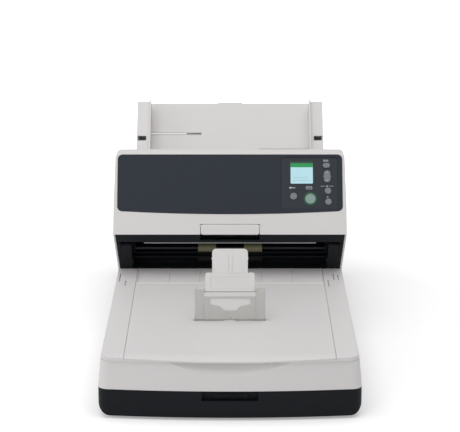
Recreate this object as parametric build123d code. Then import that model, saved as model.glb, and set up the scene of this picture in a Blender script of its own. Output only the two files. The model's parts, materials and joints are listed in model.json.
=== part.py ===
from build123d import *
from math import acos, atan2, cos, degrees, hypot, pi, radians, sin, tan
import os

# A desktop document scanner: a flatbed base whose lid is also the output tray, and a sheet feeder behind it.
# Sizes in millimetres. X runs across the machine, Y from its front to its rear, Z up from the table.
# While the pieces are drawn, Y is 0 at the middle of the base's front edge.

# Widths across the machine, worked out from the widest sheet outwards
sheet_half_width = 108.0
sheet_side_gap = 0.5
chute_side = 17.5
chute_side_gap = 2.0
side_cover_width = 21.5
feeder_top_lean = 1.7
feeder_foot_lean = 3.8
base_side_step = 0.5
guide_inner_x = sheet_half_width + sheet_side_gap
chute_half_width = guide_inner_x + chute_side
feeder_throat_half_width = chute_half_width + chute_side_gap
feeder_half_width = feeder_throat_half_width + side_cover_width
feeder_top_half_width = feeder_half_width - feeder_top_lean
feeder_foot_half_width = feeder_half_width - feeder_foot_lean
base_width = 2 * (feeder_half_width + base_side_step)

# Base
base_depth = 577.0
front_bow = 9.0
plan_corner = 12.0
foot_height = 3.6
foot_radius = 9.0
foot_inset_x = 38.0
foot_inset_front = 42.0
foot_inset_rear = 36.0
tray_top = 35.3
tray_bottom_round = 14.0
tray_wall = 2.4
casing_wall = 2.4
casing_draft = 3.0
deck_top = 68.2
deck_thickness = 2.5
recess_half_width = 84.0
recess_drop = 15.6
recess_depth = 10.0
recess_wall = 2.4

# Front lock recess and its slider
lock_half_width = 32.0
lock_low = 23.6
lock_high = 34.2
lock_depth = 7.0
lock_wall = 2.0
lock_slider_width = 40.0
lock_slider_height = 6.0
lock_travel = 8.0
lock_ridge_pitch = 3.0

# Flatbed
window_side = 1.0
window_width = 2 * (sheet_half_width + window_side)
window_length = 298.0
window_front = 18.0
glass_lap = 7.0
glass_thickness = 3.0
carriage_lap = 6.0
carriage_width = window_width + 2 * carriage_lap
carriage_length = 34.0
carriage_height = 22.0
carriage_home = 26.0
carriage_end_gap = 4.0
carriage_under_glass = 1.2
rod_radius = 4.0
rod_drop = 14.0
running = 0.05
belt_offset_x = 34.0
belt_width = 4.0
belt_thickness = 1.0
belt_pulley_radius = 6.0
pulley_flange = 1.0
belt_under_carriage = 0.4
bed_motor_size = 35.0
bed_motor_height = 18.0

# Lid
lid_side_setback = 4.8
lid_width = base_width - 2 * lid_side_setback
lid_rear = 331.3
lid_front_top = 73.9
lid_front_round = 24.0
lid_front_edge = 70.2
lid_rear_top = 79.0
lid_gap = 0.3
lid_front_setback = 1.0
lid_panel_side = 11.5
lid_panel_width = 2 * (sheet_half_width + lid_panel_side)
lid_panel_groove = 0.6
lid_panel_thickness = 1.2
lid_ramp_length = 60.0
lid_ramp_rib_pitch = 39.5
lid_ramp_rib_height = 0.7
lid_ramp_rib_width = 1.2
lid_axis_y = 324.0
lid_axis_z = 73.5
lid_pin_radius = 1.8
lid_knuckle_radius = 3.6
lid_knuckle_inset = 15.2
lid_knuckle_width = 6.0
lid_knuckle_low_x = lid_width / 2 - lid_knuckle_inset
lid_knuckle_high_x = lid_knuckle_low_x + lid_knuckle_width
lid_slot_width = 1.3
lid_slot_depth = 2.4
lid_slots = (
    (-141.1, 294.3, lid_slot_width, 36.0),
    (-132.8, 271.2, lid_slot_width, 20.0),
    (125.0, 271.0, lid_slot_width, 26.0),
    (127.5, 280.0, 5.0, lid_slot_width),
    (132.9, 297.9, lid_slot_width, 28.0),
    (138.8, 294.3, lid_slot_width, 22.0),
)
pad_margin = 2.0

# Stopper that stands on the lid
stopper_y = 131.0
stopper_width = 84.0
stopper_height = 39.8
stopper_thickness = 4.0
flap_width = 58.6
flap_thickness = 4.0
flap_heel = 2.2
flap_high = 59.0
flap_pin_height = 38.4
flap_pocket_half = 23.0
flap_pocket_depth = 0.5
flap_rim = 4.0
flap_pin_radius = 1.1
plate_width = 42.2
plate_thickness = 1.2
plate_low = 52.0
plate_high = 88.9
plate_travel = 14.0
stopper_axis_height = 2.6
stopper_pin_radius = 1.2

# Sheet feeder outline, as points (y, z) seen from the side
feeder_wall = 2.4
cover_wall = 3.0
feeder_rear_foot_y = 572.0
rear_cover_front_y = 514.0
nose_y = 299.5
nose_z = 134.0
front_top_y = 347.0
front_top_z = 230.0
cover_top_y = 374.0
cover_top_z = 228.8
split_y = 396.0
split_top_z = 223.5
shoulder_y = 505.0
shoulder_z = 197.5
rear_top_y = 566.0
rear_top_z = 176.0
split_gap = 0.5
front_rim_round = 4.0
top_side_round = 6.0

# Paper path: straight at the exit, an arc, then straight along the chute
exit_y = 334.0
exit_z = 94.5
exit_angle = 10.0
chute_point_y = 508.7
chute_point_z = 224.7
chute_angle = 50.1
path_tangent = 60.0
path_half_gap = 1.2
guide_thickness = 2.0
guide_side_gap = 0.6

# Rollers, placed by their distance along the paper path from the exit
eject_at = 13.0
front_feed_at = 45.0
rear_feed_at = 100.0
pick_at = 131.0
eject_radius = 6.5
feed_radius = 8.0
pick_radius = 12.0
idler_radius = 6.0
brake_radius = 10.0
shaft_radius = 2.5
nip_gap = 0.4
tyre_centre_x = 30.0
tyre_width = 23.5
feed_tyre_pitch = 48.0
pick_tyre_width = 18.0
drive_pulley_radius = 6.0
motor_pulley_radius = 4.0
drive_belt_width = 2.0
drive_belt_thickness = 0.8
drive_belt_gap = 0.15
drive_belt_step = 4.2
drive_belt_first_x = feeder_throat_half_width + drive_belt_step
drive_belt_pitch = 2.7

# Scan units across the path
scan_from = 58.0
scan_to = 84.0
scan_unit_depth = 20.0
scan_glass_width = 14.0
scan_glass_thickness = 1.6
scan_side = 8.0
scan_half_width = sheet_half_width + scan_side

# Feeder cover that opens forward
cover_axis_y = 318.0
cover_axis_z = 112.0
cover_pin_radius = 2.5
cover_boss_radius = 8.0
cover_ear_radius = 11.5
cheek_step = 1.0
cheek_width = 13.4
cheek_inner_x = feeder_throat_half_width - cheek_step
cheek_outer_x = cheek_inner_x + cheek_width
cover_pin_reach = 4.8
lip_low_z = 122.2
lip_high_z = 133.4
lip_thickness = 2.5
lip_back_y = 337.0
lip_back_z = 113.5
cheek_back_y = 335.6
sill_top_z = 79.6
sill_thickness = 2.2
brush_side = 4.0
brush_half_width = sheet_half_width + brush_side
brush_height = 1.6
brush_thickness = 0.8

# Dark front panel, measured up the front slope from the nose
panel_low = 26.8
panel_high = 105.0
panel_side = 3.2
panel_half_width = feeder_top_half_width - panel_side
panel_bow = 4.2
panel_corner = 6.5
panel_thickness = 2.2
panel_proud = 0.4
operator_side = 6.2
operator_width = 72.9
operator_right = panel_half_width - operator_side
operator_left = operator_right - operator_width
operator_low = 33.6
operator_high = 101.3
operator_inset = 0.6
operator_corner = 3.0
display_left = operator_left + 12.5
display_low = 66.8
display_size = 28.7
display_thickness = 0.6
button_proud = 1.2
button_travel = 0.8
button_gap = 0.25
button_stem = 3.0
back_button_x = operator_left + 16.2
back_button_v = 50.1
back_button_radius = 4.5
scan_button_x = operator_left + 37.8
scan_button_v = 46.7
scan_button_radius = 6.6
scan_ring_width = 1.9
menu_button_x = operator_right - 14.1
menu_button_v = 90.7
menu_button_width = 9.5
menu_button_height = 6.6
rocker_x = operator_right - 13.3
rocker_v = 76.1
rocker_width = 8.6
rocker_height = 15.6
stop_button_x = operator_right - 12.4
stop_button_v = 57.3
power_button_x = operator_right - 12.0
power_button_v = 42.9
side_button_radius = 4.2
tab_half_width = 37.5
tab_low = 0.0
tab_high = 13.1
tab_corner = 3.0
tab_gap = 0.5
tab_recess_low = -6.0
tab_recess_depth = 11.0
recess_wall = 2.4
tab_pin_radius = 0.9

# Chute and its side guides, measured up the chute from the end of the arc
chute_low = 12.0
chute_high = 134.0
chute_thickness = 16.0
chute_rim = 2.4
chute_skin = 2.2
guide_width = 18.9
guide_wall = 2.0
guide_low = 24.0
guide_high = 126.0
guide_rise = 20.0
guide_cap = 15.0
guide_lift = 0.5
guide_steps = 16
rack_spare_teeth = 3
guide_foot_width = 6.0
guide_window_from = 66.0
guide_window_height = 7.0
rack_module = 1.5
pinion_teeth = 12
pinion_up = 74.0
pinion_bore = 2.5
rack_thickness = 3.6
rack_body = 3.0
tooth_backlash = 0.45
extension_width = 120.0
extension_thickness = 3.0
extension_travel = 80.0
extension_overlap = 30.0
extension_step = 6.0
outer_extension_width = 84.0
extension_gap = 0.4
extension_clear = 1.6
extension_tip = 4.0
extension_tip_height = 10.0

# Rear sockets and inside parts
socket_wall = 1.5
power_socket_x = -96.0
usb_socket_x = -62.0
network_socket_x = -30.0
socket_centre_z = 20.0
board_width = 190.0
board_length = 120.0
board_thickness = 1.6
board_post = 4.0
feed_motor_radius = 17.0
feed_motor_length = 34.0
feed_motor_y = 438.0
feed_motor_z = 91.0
screw_radius = 3.0
screw_height = 1.6
vent_count = 12
vent_pitch = 9.0
vent_width = 4.0
vent_height = 14.0


# Small helpers. Profiles are lists of (y, z) points.
def face_of(points):
    return make_face(Polyline(*points, close=True))


def prism(outline, x_low, x_high):
    """Runs a side profile, given as points or as a flat face, along X."""
    face = face_of(outline) if isinstance(outline, list) else outline
    return extrude(Plane.YZ.offset(x_low) * face, x_high - x_low, dir=(1, 0, 0))


def both_sides(outline, x_low, x_high):
    """The same prism on the left and on the right."""
    return prism(outline, x_low, x_high) + prism(outline, -x_high, -x_low)


def block(x_low, x_high, y_low, y_high, z_low, z_high):
    size = (x_high - x_low, y_high - y_low, z_high - z_low)
    middle = ((x_low + x_high) / 2, (y_low + y_high) / 2, (z_low + z_high) / 2)
    return Pos(*middle) * Box(*size)


def rod_x(centre, radius, x_low, x_high):
    """A round bar along X about a (y, z) centre."""
    return prism(Pos(*centre) * Circle(radius), x_low, x_high)


def rods_x(centre, radius, x_low, x_high):
    return rod_x(centre, radius, x_low, x_high) + rod_x(centre, radius, -x_high, -x_low)


def upright(x, y, radius, z_low, z_high):
    return Pos(x, y, (z_low + z_high) / 2) * Cylinder(radius, z_high - z_low)


def inset_chain(points, distance):
    """The open chain of points moved to its right by a distance, with mitred corners."""
    shifted = []
    for i, (y, z) in enumerate(points):
        before = points[max(i - 1, 0)]
        after = points[min(i + 1, len(points) - 1)]
        normals = []
        for a, b in ((before, (y, z)), ((y, z), after)):
            length = hypot(b[0] - a[0], b[1] - a[1])
            if length > 0:
                normals.append(((b[1] - a[1]) / length, -(b[0] - a[0]) / length))
        n0, n1 = normals[0], normals[-1]
        scale = distance / (1 + n0[0] * n1[0] + n0[1] * n1[1])
        shifted.append((y + scale * (n0[0] + n1[0]), z + scale * (n0[1] + n1[1])))
    return shifted


def sheet(points, thickness):
    """A bent sheet: the chain of points on one face, the chain moved to its right on the other."""
    return points + inset_chain(points, thickness)[::-1]


def along(start, end, share):
    return (start[0] + share * (end[0] - start[0]), start[1] + share * (end[1] - start[1]))


def at_height(start, end, z):
    return along(start, end, (z - start[1]) / (end[1] - start[1]))


# Paper path geometry
exit_turn = radians(exit_angle)
chute_turn = radians(chute_angle)
crossing_y = (
    chute_point_z - exit_z + exit_y * tan(exit_turn) - chute_point_y * tan(chute_turn)
) / (tan(exit_turn) - tan(chute_turn))
crossing_z = exit_z + (crossing_y - exit_y) * tan(exit_turn)
path_radius = path_tangent / tan((chute_turn - exit_turn) / 2)
arc_start_y = crossing_y - path_tangent * cos(exit_turn)
arc_start_z = crossing_z - path_tangent * sin(exit_turn)
arc_centre_y = arc_start_y - path_radius * sin(exit_turn)
arc_centre_z = arc_start_z + path_radius * cos(exit_turn)
exit_length = hypot(arc_start_y - exit_y, arc_start_z - exit_z)
arc_length = path_radius * (chute_turn - exit_turn)
chute_start = exit_length + arc_length


def path_heading(s):
    if s <= exit_length:
        return exit_turn
    if s >= chute_start:
        return chute_turn
    return exit_turn + (s - exit_length) / path_radius


def path_point(s, above=0.0):
    """The point at distance s along the paper path, moved off it to its upper side."""
    turn = path_heading(s)
    if s <= exit_length:
        y = exit_y + s * cos(turn)
        z = exit_z + s * sin(turn)
    else:
        y = arc_centre_y + path_radius * sin(turn)
        z = arc_centre_z - path_radius * cos(turn)
        if s > chute_start:
            y += (s - chute_start) * cos(turn)
            z += (s - chute_start) * sin(turn)
    return (y - above * sin(turn), z + above * cos(turn))


def path_edges(s_low, s_high, above):
    """Lines and an arc beside the path, from s_low to s_high."""
    marks = [s_low] + [s for s in (exit_length, chute_start) if s_low < s < s_high] + [s_high]
    edges = []
    for a, b in zip(marks, marks[1:]):
        if a >= exit_length and b <= chute_start:
            edges.append(
                ThreePointArc(path_point(a, above), path_point((a + b) / 2, above), path_point(b, above))
            )
        else:
            edges.append(Line(path_point(a, above), path_point(b, above)))
    return edges


def path_sheet(s_low, s_high, low, high):
    """The flat face between two offsets from the path."""
    ends = [
        Line(path_point(s_low, low), path_point(s_low, high)),
        Line(path_point(s_high, low), path_point(s_high, high)),
    ]
    return make_face(path_edges(s_low, s_high, low) + path_edges(s_low, s_high, high) + ends)


def chute_point(up, above=0.0):
    return path_point(chute_start + up, above)


# Outline of the feeder across its width: it leans in a little above and below
feeder_widest_z = (nose_z + split_top_z) / 2 - 10.0


def feeder_body(inset):
    half_outline = [
        (feeder_foot_half_width - inset, tray_top),
        (feeder_foot_half_width - inset, lid_rear_top),
        (feeder_half_width - inset, nose_z),
        (feeder_half_width - inset, feeder_widest_z),
        (feeder_top_half_width - inset, front_top_z),
        (feeder_top_half_width - inset, front_top_z + 60.0),
    ]
    outline = half_outline + [(-x, z) for x, z in half_outline[::-1]]
    return extrude(Plane.XZ * face_of(outline), 2 * base_depth, dir=(0, 1, 0))


nose = (nose_y, nose_z)
front_top = (front_top_y, front_top_z)
cover_top = (cover_top_y, cover_top_z)
split_top = (split_y, split_top_z)
shoulder = (shoulder_y, shoulder_z)
rear_top = (rear_top_y, rear_top_z)
lid_rear_edge = (lid_rear, lid_rear_top)
front_slope = atan2(front_top_z - nose_z, front_top_y - nose_y)
front_plane = Plane(
    origin=(0, nose_y, nose_z), x_dir=(1, 0, 0), z_dir=(0, -sin(front_slope), cos(front_slope))
)
cover_axis = (cover_axis_y, cover_axis_z)
lid_axis = (lid_axis_y, lid_axis_z)
parts = {}
feeder_outer = feeder_body(0.0)
feeder_inner = feeder_body(feeder_wall)


def on_front(sketch, low, high):
    """Extrudes a sketch drawn on the front slope between two heights off that slope."""
    return extrude(front_plane.offset(low) * sketch, high - low, dir=front_plane.z_dir)


def front_rectangle(x_low, x_high, v_low, v_high, corner=0.0):
    middle = Pos((x_low + x_high) / 2, (v_low + v_high) / 2)
    if corner > 0:
        return middle * RectangleRounded(x_high - x_low, v_high - v_low, corner)
    return middle * Rectangle(x_high - x_low, v_high - v_low)


# Places worked out from the driving sizes
glass_top = deck_top - deck_thickness
glass_low = glass_top - glass_thickness
carriage_top = glass_low - carriage_under_glass
carriage_low = carriage_top - carriage_height
rod_z = carriage_top - rod_drop
rod_front = window_front + 1.0
rod_rear = window_front + window_length + 14.0
rod_post = 5.0
tray_floor = foot_height + tray_wall
belt_z = carriage_low - belt_under_carriage - pulley_flange - belt_width / 2
belt_front_y = window_front + 2.0
belt_rear_y = window_front + window_length + 6.0
board_x = -35.0
board_rear = base_depth - tray_wall - 20.0
board_low = tray_floor + board_post
rear_sockets = (
    (power_socket_x, 11.0, 11.0),
    (usb_socket_x, 13.0, 12.0),
    (network_socket_x, 17.0, 14.5),
)
socket_length = 15.0
lid_low = deck_top + lid_gap
lid_half = lid_width / 2
guide_half = feeder_throat_half_width - guide_side_gap


# Base tray and casing
def plan_face(half_width, front, rear, bow, corner):
    """The plan of the base or lid: straight sides and rear, and a front that bows forward."""
    outline = make_face(
        [
            ThreePointArc((-half_width, front + bow), (0, front), (half_width, front + bow)),
            Line((half_width, front + bow), (half_width, rear)),
            Line((half_width, rear), (-half_width, rear)),
            Line((-half_width, rear), (-half_width, front + bow)),
        ]
    )
    return fillet(outline.vertices(), corner)


def base_column(inset, z_low, z_high, draft=0.0):
    face = plan_face(
        base_width / 2 - inset, inset, base_depth - inset, front_bow, plan_corner - inset / 2
    )
    taper = degrees(atan2(draft, z_high - z_low))
    return extrude(Pos(0, 0, z_low) * face, z_high - z_low, taper=taper)


def tray_section(inset):
    """Limits the tray to rounded lower corners, seen from the front."""
    half = base_width / 2 - inset
    low = foot_height + inset
    outline = face_of([(-half, low), (half, low), (half, tray_top + 1), (-half, tray_top + 1)])
    lower = outline.vertices().group_by(Axis.Y)[0]
    return extrude(Plane.XZ * fillet(lower, tray_bottom_round - inset), base_depth, dir=(0, 1, 0))


def socket_block(x, width, height, grow):
    half = width / 2 + grow
    return block(
        x - half,
        x + half,
        base_depth - socket_length,
        base_depth - 0.4,
        socket_centre_z - height / 2 - grow,
        socket_centre_z + height / 2 + grow,
    )


def rear_cut(x, width, height, y_low):
    return block(
        x - width / 2,
        x + width / 2,
        y_low,
        base_depth + 1,
        socket_centre_z - height / 2,
        socket_centre_z + height / 2,
    )


def build_tray():
    outer = base_column(0.0, foot_height, tray_top) & tray_section(0.0)
    inner = base_column(tray_wall, foot_height, tray_top + 1) & tray_section(tray_wall)
    tray = outer - inner
    half = lock_half_width
    back = lock_depth + lock_wall
    tray += block(-half - lock_wall, half + lock_wall, tray_wall / 2, back, tray_floor, tray_top)
    tray -= block(-half, half, -1, lock_depth, lock_low, lock_high)
    slot_half = lock_stem_width / 2 + lock_travel + lock_clearance
    tray -= block(-slot_half, slot_half, lock_depth - 1, back + 1, lock_slot_low, lock_slot_high)
    wall_y = base_depth - tray_wall - 1
    for x, width, height in rear_sockets:
        tray -= rear_cut(x, width + 2 * socket_wall + 0.2, height + 2 * socket_wall + 0.2, wall_y)
    for i in range(vent_count):
        tray -= rear_cut(vent_first_x + i * vent_pitch, vent_width, vent_height, wall_y)
    for y in (rod_front, rod_rear):
        post = block(-rod_post, rod_post, y - rod_post, y + rod_post, tray_floor, rod_z + rod_radius)
        tray += post
    for x in board_posts_x:
        for y in board_posts_y:
            tray += upright(x, y, 3.0, tray_floor, board_low)
    tray -= Pos(0, (rod_front + rod_rear) / 2, rod_z) * Rot(90, 0, 0) * Cylinder(
        rod_radius, rod_rear - rod_front
    )
    for y in (belt_front_y, belt_rear_y):
        tray += upright(belt_offset_x, y, belt_pin_radius, tray_floor, belt_z + belt_width / 2)
    return tray


lock_stem_width = 12.0
lock_clearance = 0.4
lock_middle = (lock_low + lock_high) / 2
lock_slot_low = lock_middle - 2.0
lock_slot_high = lock_middle + 2.0
belt_pin_radius = 2.0
vent_first_x = 18.0
board_posts_x = (board_x - board_width / 2 + 7, board_x + board_width / 2 - 7)
board_posts_y = (board_rear - board_length + 7, board_rear - 7)


# The finger recess is a shallow bite of a large ball that stands in front of the casing
recess_radius = (recess_half_width**2 + recess_drop**2) / (2 * recess_drop)
recess_stand_off = (recess_half_width**2 - recess_depth**2) / (2 * recess_depth)
recess_setback = casing_draft / 2
recess_ball = hypot(recess_radius, recess_stand_off)
recess_centre = Pos(0, recess_setback - recess_stand_off, deck_top - recess_drop + recess_radius)


def build_casing():
    outer = base_column(0.0, tray_top, deck_top, casing_draft)
    inner = base_column(casing_wall, tray_top, deck_top, casing_draft)
    inner &= block(-base_width, base_width, 0, base_depth, 0, glass_top)
    casing = outer - inner
    casing += recess_centre * Sphere(recess_ball + recess_wall) & outer
    casing -= recess_centre * Sphere(recess_ball)
    half = window_width / 2
    casing -= block(-half, half, window_front, window_front + window_length, 0, deck_top + 1)
    return casing


def build_feet():
    feet = []
    for x in (foot_inset_x - base_width / 2, base_width / 2 - foot_inset_x):
        for y in (foot_inset_front, base_depth - foot_inset_rear):
            foot = upright(x, y, foot_radius, 0, foot_height)
            feet.append(chamfer(foot.edges().group_by(Axis.Z)[0], 0.8))
    return Compound(children=feet)


def build_lock_slider():
    half = lock_slider_width / 2
    low = lock_middle - lock_slider_height / 2
    slider = block(-half, half, lock_depth - 2.4, lock_depth - 0.3, low, low + lock_slider_height)
    ridges = int(lock_slider_width / lock_ridge_pitch / 2) * 2 - 1
    for i in range(ridges):
        x = (i - (ridges - 1) / 2) * lock_ridge_pitch
        slider += block(x - 0.7, x + 0.7, lock_depth - 3.4, lock_depth - 2, low, low + lock_slider_height)
    slider += block(
        -lock_stem_width / 2,
        lock_stem_width / 2,
        lock_depth - 1,
        lock_depth + lock_wall + 2,
        lock_slot_low + 0.3,
        lock_slot_high - 0.3,
    )
    return slider


parts["base_tray"] = build_tray()
parts["base_casing"] = build_casing()
parts["rubber_feet"] = build_feet()
parts["lock_slider"] = build_lock_slider()
parts["flatbed_glass"] = block(
    -window_width / 2 - glass_lap,
    window_width / 2 + glass_lap,
    window_front - glass_lap + 2.0,
    window_front + window_length + glass_lap,
    glass_low,
    glass_top,
)


# Scan carriage on its rod, with the belt that pulls it
def build_carriage():
    half = carriage_width / 2
    front, rear = carriage_home, carriage_home + carriage_length
    carriage = block(-half, half, front, rear, carriage_low, carriage_top)
    carriage = chamfer(carriage.edges().filter_by(Axis.X), 2.0)
    slit = carriage_length / 2
    carriage -= block(
        -half + 6, half - 6, front + slit - 4, front + slit + 4, carriage_top - 6, carriage_top + 1
    )
    carriage -= Pos(0, front + slit, rod_z) * Rot(90, 0, 0) * Cylinder(
        rod_radius + running, carriage_length + 2
    )
    clamp = block(belt_offset_x + belt_pulley_radius - 3, belt_offset_x + belt_pulley_radius - 0.3,
                  front + 8, rear - 8, belt_z - belt_width / 2, carriage_low + 1)
    return carriage + clamp


def bed_pulley(y):
    wheel = upright(belt_offset_x, y, belt_pulley_radius, belt_z - belt_width / 2, belt_z + belt_width / 2)
    for z in (belt_z - belt_width / 2 - pulley_flange, belt_z + belt_width / 2):
        wheel += upright(belt_offset_x, y, belt_pulley_radius + 1.6, z, z + pulley_flange)
    return wheel - upright(belt_offset_x, y, belt_pin_radius + running, 0, deck_top)


def loop_face(length, radius):
    """A belt's outline round two equal pulleys, along its first axis."""
    return SlotCenterToCenter(length, 2 * radius)


def build_bed_belt():
    length = belt_rear_y - belt_front_y
    middle = Pos(belt_offset_x, (belt_front_y + belt_rear_y) / 2, belt_z - belt_width / 2) * Rot(0, 0, 90)
    inner = belt_pulley_radius + drive_belt_gap
    ring = loop_face(length, inner + belt_thickness) - loop_face(length, inner)
    return extrude(middle * ring, belt_width)


parts["carriage_rod"] = Pos(0, (rod_front + rod_rear) / 2, rod_z) * Rot(90, 0, 0) * Cylinder(
    rod_radius, rod_rear - rod_front
)
parts["scan_carriage"] = build_carriage()
parts["belt_idler_pulley"] = bed_pulley(belt_front_y)
parts["belt_drive_pulley"] = bed_pulley(belt_rear_y)
parts["bed_belt"] = build_bed_belt()
motor_x = belt_offset_x + belt_pulley_radius + 8.0
parts["bed_motor"] = block(
    motor_x, motor_x + bed_motor_size, rod_rear - 12, rod_rear - 12 + bed_motor_size,
    tray_floor, tray_floor + bed_motor_height,
)
parts["bed_motor"] += upright(
    motor_x + bed_motor_size / 2, rod_rear - 12 + bed_motor_size / 2, 4.0,
    tray_floor + bed_motor_height - 1, tray_floor + bed_motor_height + 5,
)


# Main board with its parts, and the sockets at the rear
def build_board():
    front = board_rear - board_length
    low = board_x - board_width / 2
    board = block(low, low + board_width, front, board_rear, board_low, board_low + board_thickness)
    top = board_low + board_thickness
    for i, (size, height) in enumerate(((26.0, 2.4), (18.0, 1.8), (14.0, 6.0), (22.0, 10.0))):
        x = low + 24 + i * 42.0
        board += block(x, x + size, front + 30, front + 30 + size, top - 0.2, top + height)
    return board


def build_sockets():
    sockets = []
    for x, width, height in rear_sockets:
        body = socket_block(x, width, height, socket_wall)
        body -= rear_cut(x, width, height, base_depth - socket_length + socket_wall)
        sockets.append(body)
    return Compound(children=sockets)


parts["main_board"] = build_board()
parts["rear_sockets"] = build_sockets()


# Lid: frame with side rails, output panel let into it, and the white pad below
def lid_top_z(y):
    return lid_front_top + (lid_rear_top - lid_front_top) * (y - lid_front_round) / (
        lid_rear - lid_front_round
    )


def lid_side(inset, rear):
    """Side view of the lid, with its top and rounded front moved in by an inset."""
    front = lid_front_setback + inset
    top_front = (lid_front_round, lid_front_top - inset)
    edge = (front, lid_front_edge - inset)
    bend = (front + (lid_front_round - front) * 0.38, lid_front_top - inset - 0.9)
    top_rear = (rear, lid_top_z(rear) - inset)
    return make_face(
        [
            ThreePointArc(edge, bend, top_front),
            Line(top_front, top_rear),
            Line(top_rear, (rear, lid_rear_notch_z)),
            Line((rear, lid_rear_notch_z), (lid_rear_notch_y, lid_low)),
            Line((lid_rear_notch_y, lid_low), (front, lid_low)),
            Line((front, lid_low), edge),
        ]
    )


lid_plan = plan_face(lid_half, lid_front_setback, lid_rear + plan_corner, front_bow, plan_corner - 2)
lid_limit = extrude(lid_plan, base_depth, dir=(0, 0, 1))


def lid_skin(half):
    """The lid's top layer between two sides, from its front lip to its rear."""
    layer = lid_side(0.0, lid_rear) - lid_side(lid_panel_thickness, lid_rear)
    return prism(layer, -half, half) & lid_limit


def build_lid_frame():
    frame = prism(lid_side(0.0, lid_rear), -lid_half, lid_half) & lid_limit
    frame -= block(-pad_half, pad_half, pad_front, pad_rear, lid_low - 1, pad_top)
    frame -= lid_skin(lid_panel_width / 2 + lid_panel_groove)
    for side in (-1, 1):
        x_low, x_high = sorted((side * (lid_knuckle_low_x - 0.4), side * (lid_knuckle_high_x + 0.4)))
        frame -= rod_x(lid_axis, lid_knuckle_radius + 0.4, x_low, x_high)
        frame -= block(
            x_low, x_high, lid_axis_y - lid_knuckle_radius - 0.4, lid_rear + 1, lid_low - 1, lid_axis_z
        )
        frame -= block(x_low, x_high, lid_axis_y, lid_rear + 1, lid_low - 1, lid_axis_z + lid_knuckle_radius)
        x_low, x_high = sorted(
            (side * (lid_knuckle_low_x - lid_pin_reach), side * (lid_knuckle_high_x + lid_pin_reach))
        )
        frame -= rod_x(lid_axis, lid_pin_radius + running, x_low - 0.2, x_high + 0.2)
    for x, y, width, length in lid_slots:
        frame -= block(
            x - width / 2,
            x + width / 2,
            y - length / 2,
            y + length / 2,
            lid_top_z(y) - lid_slot_depth,
            lid_top_z(y) + 1,
        )
    return frame


lid_pin_reach = 4.0
lid_rear_notch_z = lid_axis_z + 1.5
lid_rear_notch_y = lid_axis_y - 3.0
pad_half = window_width / 2 - pad_margin
pad_front = window_front + pad_margin
pad_rear = window_front + window_length - pad_margin
pad_low = glass_top + 0.3
pad_top = lid_low + 1.6


def build_lid_panel():
    half = lid_panel_width / 2
    panel = lid_skin(half)
    ramp_y = lid_rear - lid_ramp_length
    ramp = [(y, lid_top_z(y) + lid_ramp_rib_height) for y in (ramp_y, lid_rear - 0.1)]
    rib = sheet(ramp, lid_ramp_rib_height + 0.2)
    ribs = int(half / lid_ramp_rib_pitch)
    for i in range(-ribs, ribs + 1):
        x = i * lid_ramp_rib_pitch
        panel += prism(rib, x - lid_ramp_rib_width / 2, x + lid_ramp_rib_width / 2)
    panel += rod_x((ramp_y, lid_top_z(ramp_y)), lid_ramp_rib_height, -half, half)
    hinge = (stopper_y, stopper_axis_z)
    ear_low = stopper_width / 2 + 0.3
    ear_high = ear_low + stopper_ear_width
    for side in (-1, 1):
        x_low, x_high = sorted((side * ear_low, side * ear_high))
        panel += rod_x(hinge, stopper_ear_radius, x_low, x_high)
        panel += block(
            x_low,
            x_high,
            stopper_y - stopper_ear_radius,
            stopper_y + stopper_ear_radius,
            stopper_base_z - 1,
            stopper_axis_z,
        )
        x_low, x_high = sorted((side * (stopper_width / 2 - stopper_pin_length), side * ear_high))
        panel += rod_x(hinge, stopper_pin_radius, x_low, x_high)
    latch_y = stopper_y - stopper_thickness / 2 - stopper_latch_gap
    panel += block(
        -stopper_latch_half,
        stopper_latch_half,
        latch_y - stopper_latch_depth,
        latch_y,
        stopper_base_z - 1,
        stopper_base_z + stopper_latch_height,
    )
    return panel


stopper_ear_width = 3.0
stopper_ear_radius = 2.4
stopper_pin_length = 5.0
stopper_latch_half = 6.5
stopper_latch_gap = 0.4
stopper_latch_depth = 2.0
stopper_latch_height = 1.5
stopper_base_z = lid_top_z(stopper_y)
stopper_axis_z = stopper_base_z + stopper_axis_height
parts["lid_frame"] = build_lid_frame()
parts["lid_panel"] = build_lid_panel()
parts["document_pad"] = block(
    -pad_half + 0.5, pad_half - 0.5, pad_front + 0.5, pad_rear - 0.5, pad_low, pad_top
)


def build_hinge_brackets():
    brackets = []
    for side in (-1, 1):
        x_low, x_high = sorted((side * lid_knuckle_low_x, side * lid_knuckle_high_x))
        bracket = rod_x(lid_axis, lid_knuckle_radius, x_low, x_high)
        bracket += block(
            x_low,
            x_high,
            lid_axis_y - lid_knuckle_radius,
            lid_axis_y + lid_knuckle_radius,
            deck_top,
            lid_axis_z,
        )
        x_low, x_high = sorted(
            (side * (lid_knuckle_low_x - lid_pin_reach), side * (lid_knuckle_high_x + lid_pin_reach))
        )
        bracket += rod_x(lid_axis, lid_pin_radius, x_low, x_high)
        brackets.append(bracket)
    return Compound(children=brackets)


parts["lid_hinge_brackets"] = build_hinge_brackets()


# Stopper: a frame that folds back, a flap that folds forward in it, and a plate that slides in the flap
def stopper_block(x_low, x_high, thickness, low, high):
    return block(
        x_low, x_high, stopper_y - thickness / 2, stopper_y + thickness / 2,
        stopper_base_z + low, stopper_base_z + high,
    )


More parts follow.
